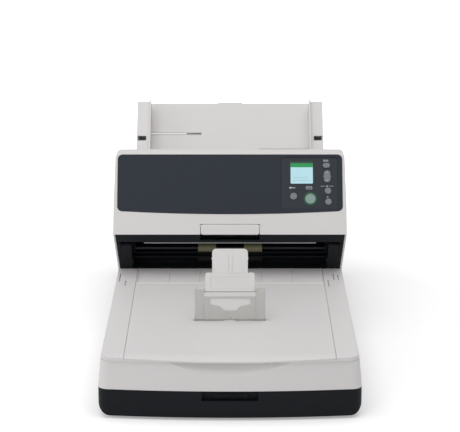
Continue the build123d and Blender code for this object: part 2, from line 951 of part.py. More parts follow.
def build_stopper_frame():
    half = stopper_width / 2
    wing = flap_width / 2 + 1.6
    frame = stopper_block(-half, half, stopper_thickness, stopper_axis_height, stopper_wall_high)
    for x_low, x_high in ((-half, -wing), (wing, half)):
        side = stopper_block(x_low, x_high, stopper_thickness, stopper_wall_high - 1, stopper_height)
        frame += fillet(side.edges().filter_by(Axis.Y).group_by(Axis.Z)[-1], 2.0)
    front = stopper_y - stopper_thickness / 2
    frame -= block(
        -wing,
        wing,
        front - 1,
        front + stopper_step,
        stopper_base_z + stopper_step_height,
        stopper_base_z + stopper_wall_high + 1,
    )
    for x in (-wing, wing):
        frame -= block(
            x - 0.6,
            x + 0.6,
            front - 1,
            front + stopper_step,
            stopper_base_z + stopper_axis_height,
            stopper_base_z + stopper_step_height + 1,
        )
    frame += rod_x((stopper_y, stopper_axis_z), stopper_thickness / 2, -half, half)
    hole = stopper_pin_radius + running
    frame -= rods_x((stopper_y, stopper_axis_z), hole, half - stopper_pin_length - 0.3, half + 1)
    for x_low, x_high in ((-wing - 1, -wing + 2), (wing - 2, wing + 1)):
        frame += rod_x((stopper_y, flap_axis_z), flap_pin_radius, x_low, x_high)
    pocket = [(x, stopper_base_z + z) for x, z in stopper_pocket]
    pocket += [(-x, z) for x, z in pocket[::-1]]
    return frame - extrude(Plane.XZ.offset(-front) * face_of(pocket), 2 * stopper_pocket_depth, both=True)


# The finger pocket in the stopper's front, as points (x, height) down one side
stopper_pocket = ((24.0, 28.0), (24.0, 20.5), (12.0, 18.0), (7.0, 12.8))
stopper_pocket_depth = 0.4
stopper_step = 1.2
stopper_step_height = 30.4
flap_low = flap_pin_height - flap_heel
stopper_wall_high = flap_low - 0.7
flap_axis_z = stopper_base_z + flap_pin_height
plate_slot_floor = plate_low - plate_travel - 0.4


def build_flap():
    half = flap_width / 2
    flap = stopper_block(-half, half, flap_thickness, flap_low, flap_high)
    flap = fillet(flap.edges().filter_by(Axis.Y).group_by(Axis.Z)[-1], 3.0)
    flap = fillet(flap.edges().filter_by(Axis.X).group_by(Axis.Z)[0], flap_heel * 0.6)
    slot = plate_width / 2 + 0.3
    flap -= stopper_block(-slot, slot, plate_thickness + 0.6, plate_slot_floor, flap_high + 1)
    front = stopper_y - flap_thickness / 2
    flap -= block(
        -flap_pocket_half,
        flap_pocket_half,
        front - 1,
        front + flap_pocket_depth,
        stopper_base_z + flap_low + flap_rim,
        stopper_base_z + flap_high - flap_rim,
    )
    return flap - rods_x((stopper_y, flap_axis_z), flap_pin_radius + running, half - 1.6, half + 1)


# Lines pressed into the plate, as (x, lowest height, highest height)
plate_lines = ((-18.3, 60.0, 66.0), (-1.6, 60.0, 81.0), (3.4, 60.0, 81.0), (16.3, 60.0, 66.0))
plate_nub_height = 76.9
plate_nub_radius = 1.0


def build_plate():
    half = plate_width / 2
    plate = stopper_block(-half, half, plate_thickness, plate_low, plate_high)
    plate = fillet(plate.edges().filter_by(Axis.Y).group_by(Axis.Z)[-1], 5.0)
    front = stopper_y - plate_thickness / 2
    for x, low, high in plate_lines:
        plate -= block(
            x - 0.4, x + 0.4, front - 0.1, front + 0.4, stopper_base_z + low, stopper_base_z + high
        )
    nub = Rot(90, 0, 0) * Cylinder(plate_nub_radius, plate_thickness)
    for x in (-half + 0.3, half - 0.3):
        plate += Pos(x, stopper_y, stopper_base_z + plate_nub_height) * nub
    return plate


parts["stopper_frame"] = build_stopper_frame()
parts["stopper_flap"] = build_flap()
parts["stopper_plate"] = build_plate()


# Side profiles of the feeder
def whole_side():
    outline = [
        (lid_rear + 1.2, deck_top),
        (lid_rear + 1.2, lid_rear_top),
        nose,
        front_top,
        cover_top,
        split_top,
        shoulder,
        rear_top,
        (feeder_rear_foot_y, deck_top),
    ]
    face = face_of(outline)
    corner = face.vertices().sort_by_distance(Vector(front_top_y, front_top_z, 0))[0]
    return fillet(corner, front_rim_round)


def cover_side_region(gap):
    """What belongs to the opening cover at the machine's sides, grown by a gap."""
    lower = cover_axis_z - cover_boss_radius - gap
    region = face_of(
        [
            (nose_y - 60, front_top_z + 60),
            (split_y + gap, front_top_z + 60),
            (split_y + gap, split_low_z - gap),
            (split_bend_y, split_bend_z - gap),
            (cover_axis_y, lower),
            (nose_y - 60, lower),
        ]
    )
    return region + Pos(cover_axis_y, cover_axis_z) * Circle(cover_ear_radius + gap)


split_low_z = 130.0
split_bend_y = 350.0
split_bend_z = 107.0
side_face = whole_side()


lid_swing = Pos(*lid_axis) * Circle(hypot(lid_rear - lid_axis_y, lid_rear_top - lid_axis_z) + 0.4)
cover_side_face = side_face & cover_side_region(0.0)
fixed_side_face = side_face - cover_side_region(split_gap) - lid_swing
behind_nose_line = face_of(
    [nose, (lid_rear, lid_rear_top), (lid_rear, 0), (base_depth, 0), (base_depth, 400), (nose_y, 400)]
)
hopper_low = path_point(pick_at + 2, 2 * brake_radius + 4)
hopper_at_split = along(cover_top, hopper_low, (split_y - cover_top_y) / (hopper_low[0] - cover_top_y))


def side_at(z):
    """Half the feeder's width at a height above its widest part."""
    rise = (z - feeder_widest_z) / (front_top_z - feeder_widest_z)
    return feeder_half_width - feeder_top_lean * rise


def top_edge_cut(start, end):
    """What the round takes off the right upper edge along one slope of the top."""
    centre_x = side_at(start[1] - top_side_round) - top_side_round
    centre_z = start[1] - top_side_round
    outline = face_of(
        [
            (centre_x, centre_z),
            (centre_x + top_side_round, centre_z),
            (centre_x + top_side_round + 2, start[1] + 2),
            (centre_x, start[1] + 2),
        ]
    )
    outline -= Pos(centre_x, centre_z) * Circle(top_side_round)
    run = Vector(side_at(end[1]) - side_at(start[1]), end[0] - start[0], end[1] - start[1])
    return extrude(Plane.XZ.offset(-start[0]) * outline, run.length, dir=run.normalized())


def round_top_sides(solid):
    chain = [along(front_top, cover_top, -0.5), cover_top, split_top, shoulder]
    chain.append(along(shoulder, rear_top, 1.2))
    for start, end in zip(chain, chain[1:]):
        cut = top_edge_cut(start, end)
        solid -= cut + mirror(cut, Plane.YZ)
    return solid


def outer_wall(face, side):
    x_low, x_high = sorted((side * feeder_throat_half_width, side * (feeder_half_width + 1)))
    return prism(face, x_low, x_high) & feeder_outer


# Fixed side covers, rear cover, exit bezel and chassis
def top_line(y):
    start, end = (split_top, shoulder) if y < shoulder_y else (shoulder, rear_top)
    return along(start, end, (y - start[0]) / (end[0] - start[0]))


def build_side_cover(side):
    solid = outer_wall(fixed_side_face, side)
    wall = solid - feeder_inner
    skin_chain = [
        (split_y + split_gap, top_line(split_y + split_gap)[1]),
        shoulder,
        top_line(rear_cover_front_y),
    ]
    skin = outer_wall(face_of(sheet(skin_chain, feeder_wall)) & fixed_side_face, side)
    return round_top_sides(wall + skin)


parts["left_feeder_cover"] = build_side_cover(-1)
parts["right_feeder_cover"] = build_side_cover(1)
rear_chain = [
    (rear_cover_front_y + 0.3, top_line(rear_cover_front_y + 0.3)[1]),
    rear_top,
    (feeder_rear_foot_y, deck_top + 0.5),
]
rear_shell = prism(sheet(rear_chain, feeder_wall), -feeder_half_width, feeder_half_width)
parts["rear_cover"] = round_top_sides(rear_shell & feeder_body(feeder_wall + 0.1))


def build_bezel():
    sill_low = sill_top_z - sill_thickness
    top = cover_axis_z - cover_boss_radius
    foot = [(cheek_back_y, top), (cheek_back_y, sill_low), (lid_rear + 1.6, sill_low)]
    lowest = at_height(lid_rear_edge, nose, sill_top_z + 1)
    cheek = face_of([lowest, at_height(lid_rear_edge, nose, top)] + foot)
    shoulder_point = (cover_axis_y + cover_boss_radius, cover_axis_z)
    pivot_cheek = face_of([lowest, at_height(lid_rear_edge, nose, cover_axis_z), shoulder_point] + foot)
    pivot_cheek += (Pos(*cover_axis) * Circle(cover_boss_radius)) & behind_nose_line
    clear_cheek = cheek - cover_side_region(split_gap + 0.2)
    inner = feeder_body(feeder_wall + 0.1)
    bezel = both_sides(pivot_cheek, cheek_inner_x, cheek_outer_x)
    outer_part = both_sides(clear_cheek, cheek_outer_x - 0.5, feeder_half_width) & inner
    bezel += outer_part
    sill_front = lid_rear + 2.4
    bezel += block(-cheek_outer_x, cheek_outer_x, sill_front, cheek_back_y, sill_low, sill_top_z - 0.6)
    bezel += block(-guide_half, guide_half, sill_front, cheek_back_y + 14, sill_low, sill_top_z - 0.6)
    bezel += both_sides(
        Pos(*cover_axis) * Circle(cover_pin_radius), cheek_inner_x, cheek_outer_x + cover_pin_reach
    )
    return bezel


parts["exit_bezel"] = build_bezel()
chassis_plate_x = feeder_throat_half_width
chassis_plate = 2.8
chassis_foot = 3.0
lower_axles = {
    "eject": path_point(eject_at, -nip_gap / 2 - eject_radius),
    "front_feed": path_point(front_feed_at, -nip_gap / 2 - feed_radius),
    "rear_feed": path_point(rear_feed_at, -nip_gap / 2 - feed_radius),
    "pick": path_point(pick_at, -nip_gap / 2 - pick_radius),
}
upper_axles = {
    "eject": path_point(eject_at, nip_gap / 2 + idler_radius),
    "front_feed": path_point(front_feed_at, nip_gap / 2 + idler_radius),
    "rear_feed": path_point(rear_feed_at, nip_gap / 2 + idler_radius),
    "brake": path_point(pick_at, nip_gap / 2 + brake_radius),
}


def build_chassis():
    front = cheek_back_y + 0.4
    low = deck_top
    foot_top = low + chassis_foot
    skin_gap = feeder_wall + 0.2
    plate = face_of(
        [
            (front, low),
            (front, exit_z + 2),
            (split_bend_y, split_bend_z - 3),
            (split_y + 1, split_low_z + 5),
            (split_y + 1, top_line(split_y + 1)[1] - skin_gap),
            (shoulder_y, shoulder_z - skin_gap),
            (rear_top_y - 3, rear_top_z - skin_gap),
            (feeder_rear_foot_y - 3, low),
        ]
    )
    chassis = both_sides(plate, chassis_plate_x, chassis_plate_x + chassis_plate)
    half = feeder_foot_half_width - feeder_wall - 0.4
    chassis += block(-half, half, front + 16, feeder_rear_foot_y - 3, low, foot_top)
    beam = path_point(front_feed_at + 4, -guide_drop)
    for y, z, height in ((beam[0], foot_top, 8.0), (feeder_rear_foot_y - 20, foot_top, 60.0)):
        chassis += block(-chassis_plate_x - 1, chassis_plate_x + 1, y, y + 3, z - 1, z + height)
    bearing = shaft_radius + running
    for axle in lower_axles.values():
        chassis -= rods_x(axle, bearing, chassis_plate_x - 1, chassis_plate_x + chassis_plate + 1)
    motor_hole = 3.0
    chassis -= rod_x((feed_motor_y, feed_motor_z), motor_hole, -chassis_plate_x - 5, -chassis_plate_x + 1)
    return chassis


guide_drop = 24.0
guide_rib_front = front_feed_at - 16
guide_rib_rear = pick_at - 10
parts["feeder_chassis"] = build_chassis()


# Lower rollers, each a steel shaft with rubber tyres and its pulleys
def tyre_spans(name):
    if name == "pick":
        return [(-tyre_centre_x, pick_tyre_width), (tyre_centre_x, pick_tyre_width)]
    if name == "eject":
        return [(-tyre_centre_x, tyre_width), (tyre_centre_x, tyre_width)]
    return [(x * feed_tyre_pitch, tyre_width) for x in (-1.5, -0.5, 0.5, 1.5)]


lower_radius = {
    "eject": eject_radius,
    "front_feed": feed_radius,
    "rear_feed": feed_radius,
    "pick": pick_radius,
}
belt_slots = {"eject": (3,), "front_feed": (2, 3), "rear_feed": (0, 1, 2), "pick": (1,)}


def belt_x(slot):
    return -(drive_belt_first_x + slot * drive_belt_pitch)


def build_lower_roller(name):
    axle = lower_axles[name]
    right_end = chassis_plate_x + chassis_plate + 1
    left_end = belt_x(max(belt_slots[name])) - drive_belt_width
    roller = rod_x(axle, shaft_radius, left_end, right_end)
    for x, width in tyre_spans(name):
        roller += rod_x(axle, lower_radius[name], x - width / 2, x + width / 2)
    for slot in belt_slots[name]:
        roller += rod_x(axle, drive_pulley_radius, belt_x(slot) - drive_belt_width, belt_x(slot))
    return roller


def belt_loop(start, start_radius, end, end_radius, x_high):
    """A belt round two pulleys, as the difference of two hulls, from x_high leftwards."""
    faces = []
    for extra in (drive_belt_gap + drive_belt_thickness, drive_belt_gap):
        circles = [
            (Pos(*start) * CenterArc((0, 0), start_radius + extra, 0, 360)),
            (Pos(*end) * CenterArc((0, 0), end_radius + extra, 0, 360)),
        ]
        faces.append(make_hull([circle.edge() for circle in circles]))
    return prism(faces[0] - faces[1], x_high - drive_belt_width, x_high)


motor_axle = (feed_motor_y, feed_motor_z)
for name in lower_axles:
    parts[name + "_roller"] = build_lower_roller(name)
parts["drive_belts"] = Compound(
    children=[
        belt_loop(motor_axle, motor_pulley_radius, lower_axles["rear_feed"], drive_pulley_radius, belt_x(0)),
        belt_loop(
            lower_axles["rear_feed"],
            drive_pulley_radius,
            lower_axles["pick"],
            drive_pulley_radius,
            belt_x(1),
        ),
        belt_loop(
            lower_axles["front_feed"],
            drive_pulley_radius,
            lower_axles["rear_feed"],
            drive_pulley_radius,
            belt_x(2),
        ),
        belt_loop(
            lower_axles["eject"],
            drive_pulley_radius,
            lower_axles["front_feed"],
            drive_pulley_radius,
            belt_x(3),
        ),
    ]
)
parts["motor_pulley"] = rod_x(motor_axle, motor_pulley_radius, belt_x(0) - drive_belt_width, belt_x(0)) + rod_x(
    motor_axle, 1.5, belt_x(0), -chassis_plate_x + 1
)
feed_motor = rod_x(
    motor_axle, feed_motor_radius, -chassis_plate_x + 0.1, -chassis_plate_x + feed_motor_length
)
parts["feed_motor"] = feed_motor - rod_x(
    motor_axle, 1.5 + running, -chassis_plate_x - 1, -chassis_plate_x + 2
)


# Paper guides and scan units
def scan_plane(side):
    """Stands on the path at the middle of the scan units, facing the given side of the path."""
    s = (scan_from + scan_to) / 2
    turn = path_heading(s)
    y, z = path_point(s)
    return Plane(origin=(0, y, z), x_dir=(1, 0, 0), z_dir=(0, -side * sin(turn), side * cos(turn)))


def scan_block(side, half_width, half_length, low, high):
    plane = scan_plane(side)
    return extrude(
        plane.offset(low) * Rectangle(2 * half_width, 2 * half_length), high - low, dir=plane.z_dir
    )


def build_lower_guide():
    side_lap = 0.5
    guide = prism(path_sheet(3.0, chute_start + chute_low - 0.3, -path_half_gap - guide_thickness, -path_half_gap),
                  -guide_half, guide_half)
    for name, axle in lower_axles.items():
        for x, width in tyre_spans(name):
            guide -= rod_x(axle, lower_radius[name] + 0.7, x - width / 2 - side_lap, x + width / 2 + side_lap)
        guide -= rod_x(axle, shaft_radius + 0.7, -guide_half - 1, guide_half + 1)
    half_scan = (scan_to - scan_from) / 2
    guide -= scan_block(-1, scan_half_width + 0.3, half_scan + 0.3, -4, 12)
    for s, x_low in ((guide_rib_front, -guide_half), (guide_rib_rear, -guide_half + feed_motor_length + 4)):
        y, z = path_point(s, -path_half_gap - guide_thickness + 0.4)
        guide += block(x_low, guide_half, y - 1.2, y + 1.2, deck_top + chassis_foot + 0.05, z)
    return guide


def build_scan_unit(side):
    half_scan = (scan_to - scan_from) / 2
    skin = path_half_gap + 0.2
    unit = scan_block(side, scan_half_width, half_scan, skin, skin + scan_unit_depth)
    unit -= scan_block(side, scan_half_width - 4, scan_glass_width / 2 - 2, skin - 1, skin + 8)
    glass = scan_block(side, scan_half_width - 2, scan_glass_width / 2, skin, skin + scan_glass_thickness)
    return unit - glass, glass


lower_unit, lower_glass = build_scan_unit(-1)
upper_unit, upper_glass = build_scan_unit(1)
parts["lower_guide"] = build_lower_guide()
parts["lower_scan_unit"] = Compound(children=[lower_unit, lower_glass])
parts["upper_scan_unit"] = Compound(children=[upper_unit, upper_glass])
bracket_thickness = 3.0
bracket_outer_x = guide_half - 0.8
bracket_inner_x = bracket_outer_x - bracket_thickness
upper_radius = {
    "eject": idler_radius,
    "front_feed": idler_radius,
    "rear_feed": idler_radius,
    "brake": brake_radius,
}


def upper_spans(name):
    return tyre_spans("pick" if name == "brake" else name)


def build_upper_guide():
    end_at = pick_at - brake_radius - 3
    guide = prism(path_sheet(upper_guide_from, end_at, path_half_gap, path_half_gap + guide_thickness),
                  -bracket_outer_x, bracket_outer_x)
    bracket = path_sheet(upper_guide_from, pick_at + 6, path_half_gap, path_half_gap + bracket_height)
    guide += both_sides(bracket, bracket_inner_x, bracket_outer_x)
    for name, axle in upper_axles.items():
        for x, width in upper_spans(name):
            guide -= rod_x(axle, upper_radius[name] + 0.7, x - width / 2 - 0.5, x + width / 2 + 0.5)
        guide -= rod_x(axle, shaft_radius + 0.7, -bracket_inner_x, bracket_inner_x)
        guide -= rods_x(axle, shaft_radius + running, bracket_inner_x - 1, bracket_outer_x + 1)
    half_scan = (scan_to - scan_from) / 2
    return guide - scan_block(1, scan_half_width + 0.3, half_scan + 0.3, -4, 12)


bracket_height = 16.0
upper_guide_from = 7.0
parts["upper_guide"] = build_upper_guide()
for name, axle in upper_axles.items():
    roller = rod_x(axle, shaft_radius, -bracket_outer_x + 0.1, bracket_outer_x - 0.1)
    for x, width in upper_spans(name):
        roller += rod_x(axle, upper_radius[name], x - width / 2, x + width / 2)
    parts["brake_roller" if name == "brake" else "upper_" + name + "_roller"] = roller


# Feeder cover: white shell with the exit lip, dark panel and operator panel on its slope
def tab_sketch(grow):
    low = tab_low - grow
    return front_rectangle(-tab_half_width - grow, tab_half_width + grow, low, tab_high + grow, tab_corner)


def tab_recess():
    low = on_front(
        front_rectangle(
            -tab_half_width - tab_gap, tab_half_width + tab_gap, tab_recess_low, tab_high + tab_gap
        ),
        -tab_recess_depth, 2.0,
    )
    return low


def build_cover_shell():
    chain = [nose, front_top, cover_top, hopper_low]
    strip = face_of(sheet(chain, cover_wall))
    corners = strip.vertices().sort_by_distance(Vector(front_top_y, front_top_z, 0))
    strip = fillet(corners[0], front_rim_round)
    hopper_skin = prism(strip, -guide_half, guide_half)
    face_strip = strip & face_of([(0, 0), (cover_top_y, 0), (cover_top_y, 400), (0, 400)])
    shell = (prism(face_strip, -feeder_half_width, feeder_half_width) & feeder_outer) + hopper_skin
    walls = both_sides(cover_side_face, feeder_throat_half_width, feeder_half_width + 1) & feeder_outer
    shell += walls - feeder_inner
    before_split = face_of([(0, 0), (split_y, 0), (split_y, 400), (0, 400)])
    flange = face_of(sheet([cover_top, split_top], feeder_wall)) & before_split
    shell += both_sides(flange, guide_half - 1, feeder_half_width) & feeder_outer
    gusset = face_of([along(cover_top, front_top, 0.1), cover_top, split_top, hopper_at_split])
    shell += both_sides(gusset, guide_half - 1, feeder_throat_half_width + 1.8)
    tie_foot = path_half_gap + bracket_height + 0.05
    tie = face_of(
        [
            path_point(rear_feed_at, tie_foot),
            path_point(pick_at, tie_foot),
            hopper_low,
            along(cover_top, hopper_low, 0.5),
        ]
    )
    shell += both_sides(tie, bracket_inner_x, guide_half)
    shell -= on_front(panel_sketch(0.15), operator_floor, 3.0)
    for sketch in button_holes():
        shell -= on_front(sketch, -cover_wall - 1, 3.0)
    shell -= tab_recess()
    for side in (-1, 1):
        x_low, x_high = sorted((side * (tab_half_width - 0.1), side * (tab_half_width + tab_gap + 2.2)))
        shell -= on_front_rod(tab_axis_v, tab_axis_depth, tab_pin_radius + running, x_low, x_high)
    return round_top_sides(shell)


def on_front_rod(v, depth, radius, x_low, x_high):
    y = nose_y + v * cos(front_slope) - depth * sin(front_slope)
    z = nose_z + v * sin(front_slope) + depth * cos(front_slope)
    return rod_x((y, z), radius, x_low, x_high)


tab_axis_v = tab_high - 1.4
tab_axis_depth = -1.0


def panel_sketch(grow):
    """The dark panel, whose lower edge bows down."""
    half = panel_half_width + grow
    low = panel_low - grow
    high = panel_high + grow
    outline = make_face(
        [
            ThreePointArc((-half, low + panel_bow), (0, low), (half, low + panel_bow)),
            Line((half, low + panel_bow), (half, high)),
            Line((half, high), (-half, high)),
            Line((-half, high), (-half, low + panel_bow)),
        ]
    )
    return fillet(outline.vertices(), panel_corner)


def operator_sketch(grow):
    return front_rectangle(
        operator_left - grow,
        operator_right + grow,
        operator_low - grow,
        operator_high + grow,
        operator_corner,
    )


round_buttons = {
    "back_button": (back_button_x, back_button_v, back_button_radius),
    "scan_button": (scan_button_x, scan_button_v, scan_button_radius),
    "stop_button": (stop_button_x, stop_button_v, side_button_radius),
    "power_button": (power_button_x, power_button_v, side_button_radius),
}


def cap_sketch(name, grow):
    if name in round_buttons:
        x, v, radius = round_buttons[name]
        return Pos(x, v) * Circle(radius + grow)
    if name == "menu_button":
        sketch = SlotOverall(menu_button_width + 2 * grow, menu_button_height + 2 * grow)
        return Pos(menu_button_x, menu_button_v) * sketch
    half = rocker_width / 2 - 0.5
    sketch = RectangleRounded(rocker_width + 2 * grow, rocker_height + 2 * grow, half)
    return Pos(rocker_x, rocker_v) * sketch


button_names = list(round_buttons) + ["menu_button", "rocker_button"]
operator_floor = panel_proud - panel_thickness
operator_top = panel_proud - operator_inset


def button_holes():
    holes = [Pos(*round_buttons[name][:2]) * Circle(button_stem / 2 + 0.3) for name in round_buttons]
    holes.append(Pos(menu_button_x, menu_button_v) * Circle(button_stem / 2 + 0.3))
    holes.append(cap_sketch("rocker_button", button_gap))
    return holes


def build_button(name):
    cap_low = operator_floor + button_travel + 0.1
    cap = on_front(cap_sketch(name, 0.0), cap_low, operator_top + button_proud)
    top_edges = cap.faces().sort_by(Axis(front_plane.origin, front_plane.z_dir))[-1].edges()
    cap = fillet(top_edges, 0.5)
    if name == "rocker_button":
        return cap + on_front_rod(
            rocker_v,
            rocker_axis_depth,
            1.0,
            rocker_x - rocker_width / 2 - 1.2,
            rocker_x + rocker_width / 2 + 1.2,
        )
    centre = round_buttons[name][:2] if name in round_buttons else (menu_button_x, menu_button_v)
    return cap + on_front(Pos(*centre) * Circle(button_stem / 2), -cover_wall - 2.0, cap_low + 0.5)


rocker_axis_depth = operator_floor + 1.0


def build_operator_panel():
    panel = on_front(operator_sketch(0.0), operator_floor, operator_top)
    x, v, radius = round_buttons["scan_button"]
    ring = Pos(x, v) * Circle(radius + button_gap + scan_ring_width)
    panel += on_front(ring, operator_top - 0.2, operator_top + 0.5)
    for name in button_names:
        panel -= on_front(cap_sketch(name, button_gap), operator_floor - 1, operator_top + 2)
    panel -= on_front_rod(
        rocker_v,
        rocker_axis_depth,
        1.0 + running,
        rocker_x - rocker_width / 2 - 1.5,
        rocker_x + rocker_width / 2 + 1.5,
    )
    size = display_size
    window = front_rectangle(display_left, display_left + size, display_low, display_low + size, 1.0)
    return panel - on_front(window, operator_top - display_thickness, operator_top + 1)


parts["cover_shell"] = build_cover_shell()
parts["front_panel"] = on_front(panel_sketch(0.0), operator_floor, panel_proud) - on_front(
    operator_sketch(0.15), operator_floor - 1, panel_proud + 1
)
parts["operator_panel"] = build_operator_panel()
parts["display"] = on_front(
    front_rectangle(display_left, display_left + display_size, display_low, display_low + display_size, 1.0),
    operator_top - display_thickness, operator_top - 0.1,
)
for name in button_names:
    parts[name] = build_button(name)


def build_tab():
    tab = on_front(tab_sketch(0.0), tab_axis_depth - 1.0, tab_axis_depth + 1.4)
    return tab + on_front_rod(
        tab_axis_v,
        tab_axis_depth,
        tab_pin_radius,
        -tab_half_width - tab_gap - 2,
        tab_half_width + tab_gap + 2,
    )


def build_lip():
    upper = at_height(nose, lid_rear_edge, lip_high_z)
    lower = at_height(nose, lid_rear_edge, lip_low_z)
    plate = face_of(sheet([lower, upper], lip_thickness))
    lip = prism(plate, -feeder_half_width, feeder_half_width)
    shelf = face_of(sheet([lower, (lip_back_y, lip_back_z)], -lip_thickness))
    lip += prism(shelf, -cheek_inner_x + 0.6, cheek_inner_x - 0.6)
    ear = face_of([at_height(nose, lid_rear_edge, nose_z - 6), (cover_axis_y + 10, nose_z + 14),
                   (cover_axis_y + 26, cover_axis_z + 8), (cover_axis_y + 4, cover_axis_z - 8)])
    ear = (ear + Pos(*cover_axis) * Circle(cover_ear_radius)) & behind_nose_line
    lip += both_sides(ear, cheek_outer_x + 0.5, feeder_half_width)
    lip -= rods_x(cover_axis, cover_pin_radius + running, cheek_outer_x, feeder_half_width)
    lip &= feeder_body(feeder_wall + 0.15)
    below_shell = face_of(sheet([nose, front_top], cover_wall + 0.05) )
    lip -= prism(below_shell, -feeder_half_width, feeder_half_width)
    return lip - tab_recess()


parts["release_tab"] = build_tab()
parts["exit_lip"] = build_lip()
parts["static_brush"] = block(
    -brush_half_width, brush_half_width, lip_back_y - 1.2 - brush_thickness, lip_back_y - 1.2,
    lip_back_z - brush_height, lip_back_z - 0.05,
)


# Chute, its side guides with racks and pinion, and the two extensions
chute_plane = Plane(
    origin=(0, *chute_point(0.0)), x_dir=(1, 0, 0), z_dir=(0, -sin(chute_turn), cos(chute_turn))
)


def on_chute(sketch, low, high):
    return extrude(chute_plane.offset(low) * sketch, high - low, dir=chute_plane.z_dir)


def chute_rectangle(x_low, x_high, up_low, up_high):
    return Pos((x_low + x_high) / 2, (up_low + up_high) / 2) * Rectangle(x_high - x_low, up_high - up_low)


pitch_radius = rack_module * pinion_teeth / 2
tooth_pitch = pi * rack_module
guide_travel = guide_steps * tooth_pitch
chute_face = -path_half_gap
chute_back = chute_face - chute_thickness
rack_top = chute_face - chute_skin - 0.5
rack_low = rack_top - rack_thickness
inner_top = rack_low - 0.6
inner_low = inner_top - extension_thickness
outer_top = inner_low - extension_gap
outer_low = outer_top - extension_thickness
rack_body_low = pitch_radius + 1.25 * rack_module
rack_body_high = rack_body_low + rack_body
foot_from = guide_inner_x + 7.0
extension_low = chute_high - extension_travel - extension_overlap


def rack_side(side):
    """The left guide's rack passes above the pinion and the right one's below it."""
    return 1 if side < 0 else -1


def build_chute():
    half = chute_half_width
    top = chute_high
    chute = on_chute(chute_rectangle(-half, half, chute_low, top), chute_back, chute_face)
    chute -= on_chute(
        chute_rectangle(-half + chute_rim, half - chute_rim, chute_low + chute_rim, top - chute_rim),
        chute_back - 1, chute_face - chute_skin,
    )
    for side in (-1, 1):
        over = rack_side(side)
        low, high = sorted((pinion_up + over * rack_body_low, pinion_up + over * rack_body_high))
        x_far = side * (foot_from + guide_foot_width + 0.5)
        x_near = side * (foot_from - guide_travel - 0.5)
        x_low, x_high = sorted((x_far, x_near))
        chute -= on_chute(
            chute_rectangle(x_low, x_high, low - 0.4, high + 0.4),
            chute_face - chute_skin - 1,
            chute_face + 1,
        )
    slot = extension_width / 2 + extension_gap
    opening = chute_rectangle(-slot, slot, top - chute_rim - 1, top + 1)
    chute -= on_chute(opening, outer_low - extension_clear, inner_top + extension_gap)
    for up in (chute_low + 14, top - 24):
        chute += on_chute(
            chute_rectangle(-half + 1, half - 1, up, up + 8), chute_back, outer_low - extension_clear
        )
    chute += on_chute(Pos(0, pinion_up) * Circle(pinion_bore), rack_low - 0.2, chute_face - chute_skin + 0.5)
    lug = chute_plane_lugs(half)
    return chute + lug


def chute_plane_lugs(half):
    lugs = None
    for side in (-1, 1):
        x_low, x_high = sorted((side * (half - 1), side * (feeder_throat_half_width - 0.05)))
        lug = on_chute(
            chute_rectangle(x_low, x_high, chute_low + 2, chute_low + 14), chute_back + 2, chute_face - 4
        )
        lugs = lug if lugs is None else lugs + lug
    return lugs


def involute(angle):
    return tan(angle) - angle


def pinion_face():
    pressure = radians(20)
    base = pitch_radius * cos(pressure)
    root = pitch_radius - 1.25 * rack_module
    tip = pitch_radius + rack_module
    half_tooth = (tooth_pitch / 2 - tooth_backlash) / 2 / pitch_radius
    flank = []
    for i in range(5):
        radius = base + (tip - base) * i / 4
        turn = half_tooth + involute(pressure) - involute(acos(base / radius))
        flank.append((radius, turn))
    flank.insert(0, (root, flank[0][1]))
    points = []
    for i in range(pinion_teeth):
        middle = pi / 2 + 2 * pi * i / pinion_teeth
        points += [(r * cos(middle - t), r * sin(middle - t)) for r, t in flank]
        points += [(r * cos(middle + t), r * sin(middle + t)) for r, t in flank[::-1]]
    return make_face(Polyline(*points, close=True))


def rack_face(side):
    """A straight rack whose gap lies on the pinion's middle while the guides are apart."""
    over = rack_side(side)
    half_tip = (tooth_pitch / 2 - tooth_backlash) / 2 - rack_module * tan(radians(20))
    half_root = half_tip + 2.25 * rack_module * tan(radians(20))
    teeth = guide_steps + 2 * rack_spare_teeth
    centres = sorted(-side * (rack_spare_teeth - 0.5 - i) * tooth_pitch for i in range(teeth))
    back = pinion_up + over * rack_body_high
    root = pinion_up + over * rack_body_low
    tip = pinion_up + over * (pitch_radius - rack_module)
    ends = sorted((side * (foot_from + guide_foot_width), -side * rack_spare_teeth * tooth_pitch))
    outline = [(ends[0], back), (ends[0], root)]
    for x in centres:
        outline += [(x - half_root, root), (x - half_tip, tip), (x + half_tip, tip), (x + half_root, root)]
    outline += [(ends[1], root), (ends[1], back)]
    return make_face(Polyline(*outline, close=True))


def build_guide(side):
    def span(near, far, up_low, up_high):
        x_low, x_high = sorted((side * near, side * far))
        return chute_rectangle(x_low, x_high, up_low, up_high)

    outer = guide_inner_x + guide_width
    low = chute_face + guide_lift
    guide = on_chute(span(guide_inner_x, outer, guide_low, guide_high), low, low + guide_rise)
    guide -= on_chute(
        span(guide_inner_x + guide_wall, outer - guide_wall, guide_low - 1, guide_high - guide_cap),
        low - 1, low + guide_rise - guide_wall,
    )
    crown = on_chute(
        span(guide_inner_x, guide_inner_x + guide_wall, guide_low, guide_high), low, low + guide_rise + 5
    )
    guide += crown
    guide -= on_chute(
        span(guide_inner_x + 6, outer - 1.2, guide_window_from, guide_window_from + guide_window_height),
        low + guide_rise - guide_wall - 1, low + guide_rise + 1,
    )
    over = rack_side(side)
    up_low, up_high = sorted((pinion_up + over * rack_body_low, pinion_up + over * rack_body_high))
    foot = on_chute(
        span(foot_from, foot_from + guide_foot_width, up_low, up_high), rack_low, low + guide_rise - 1
    )
    return guide + foot + on_chute(rack_face(side), rack_low, rack_top)


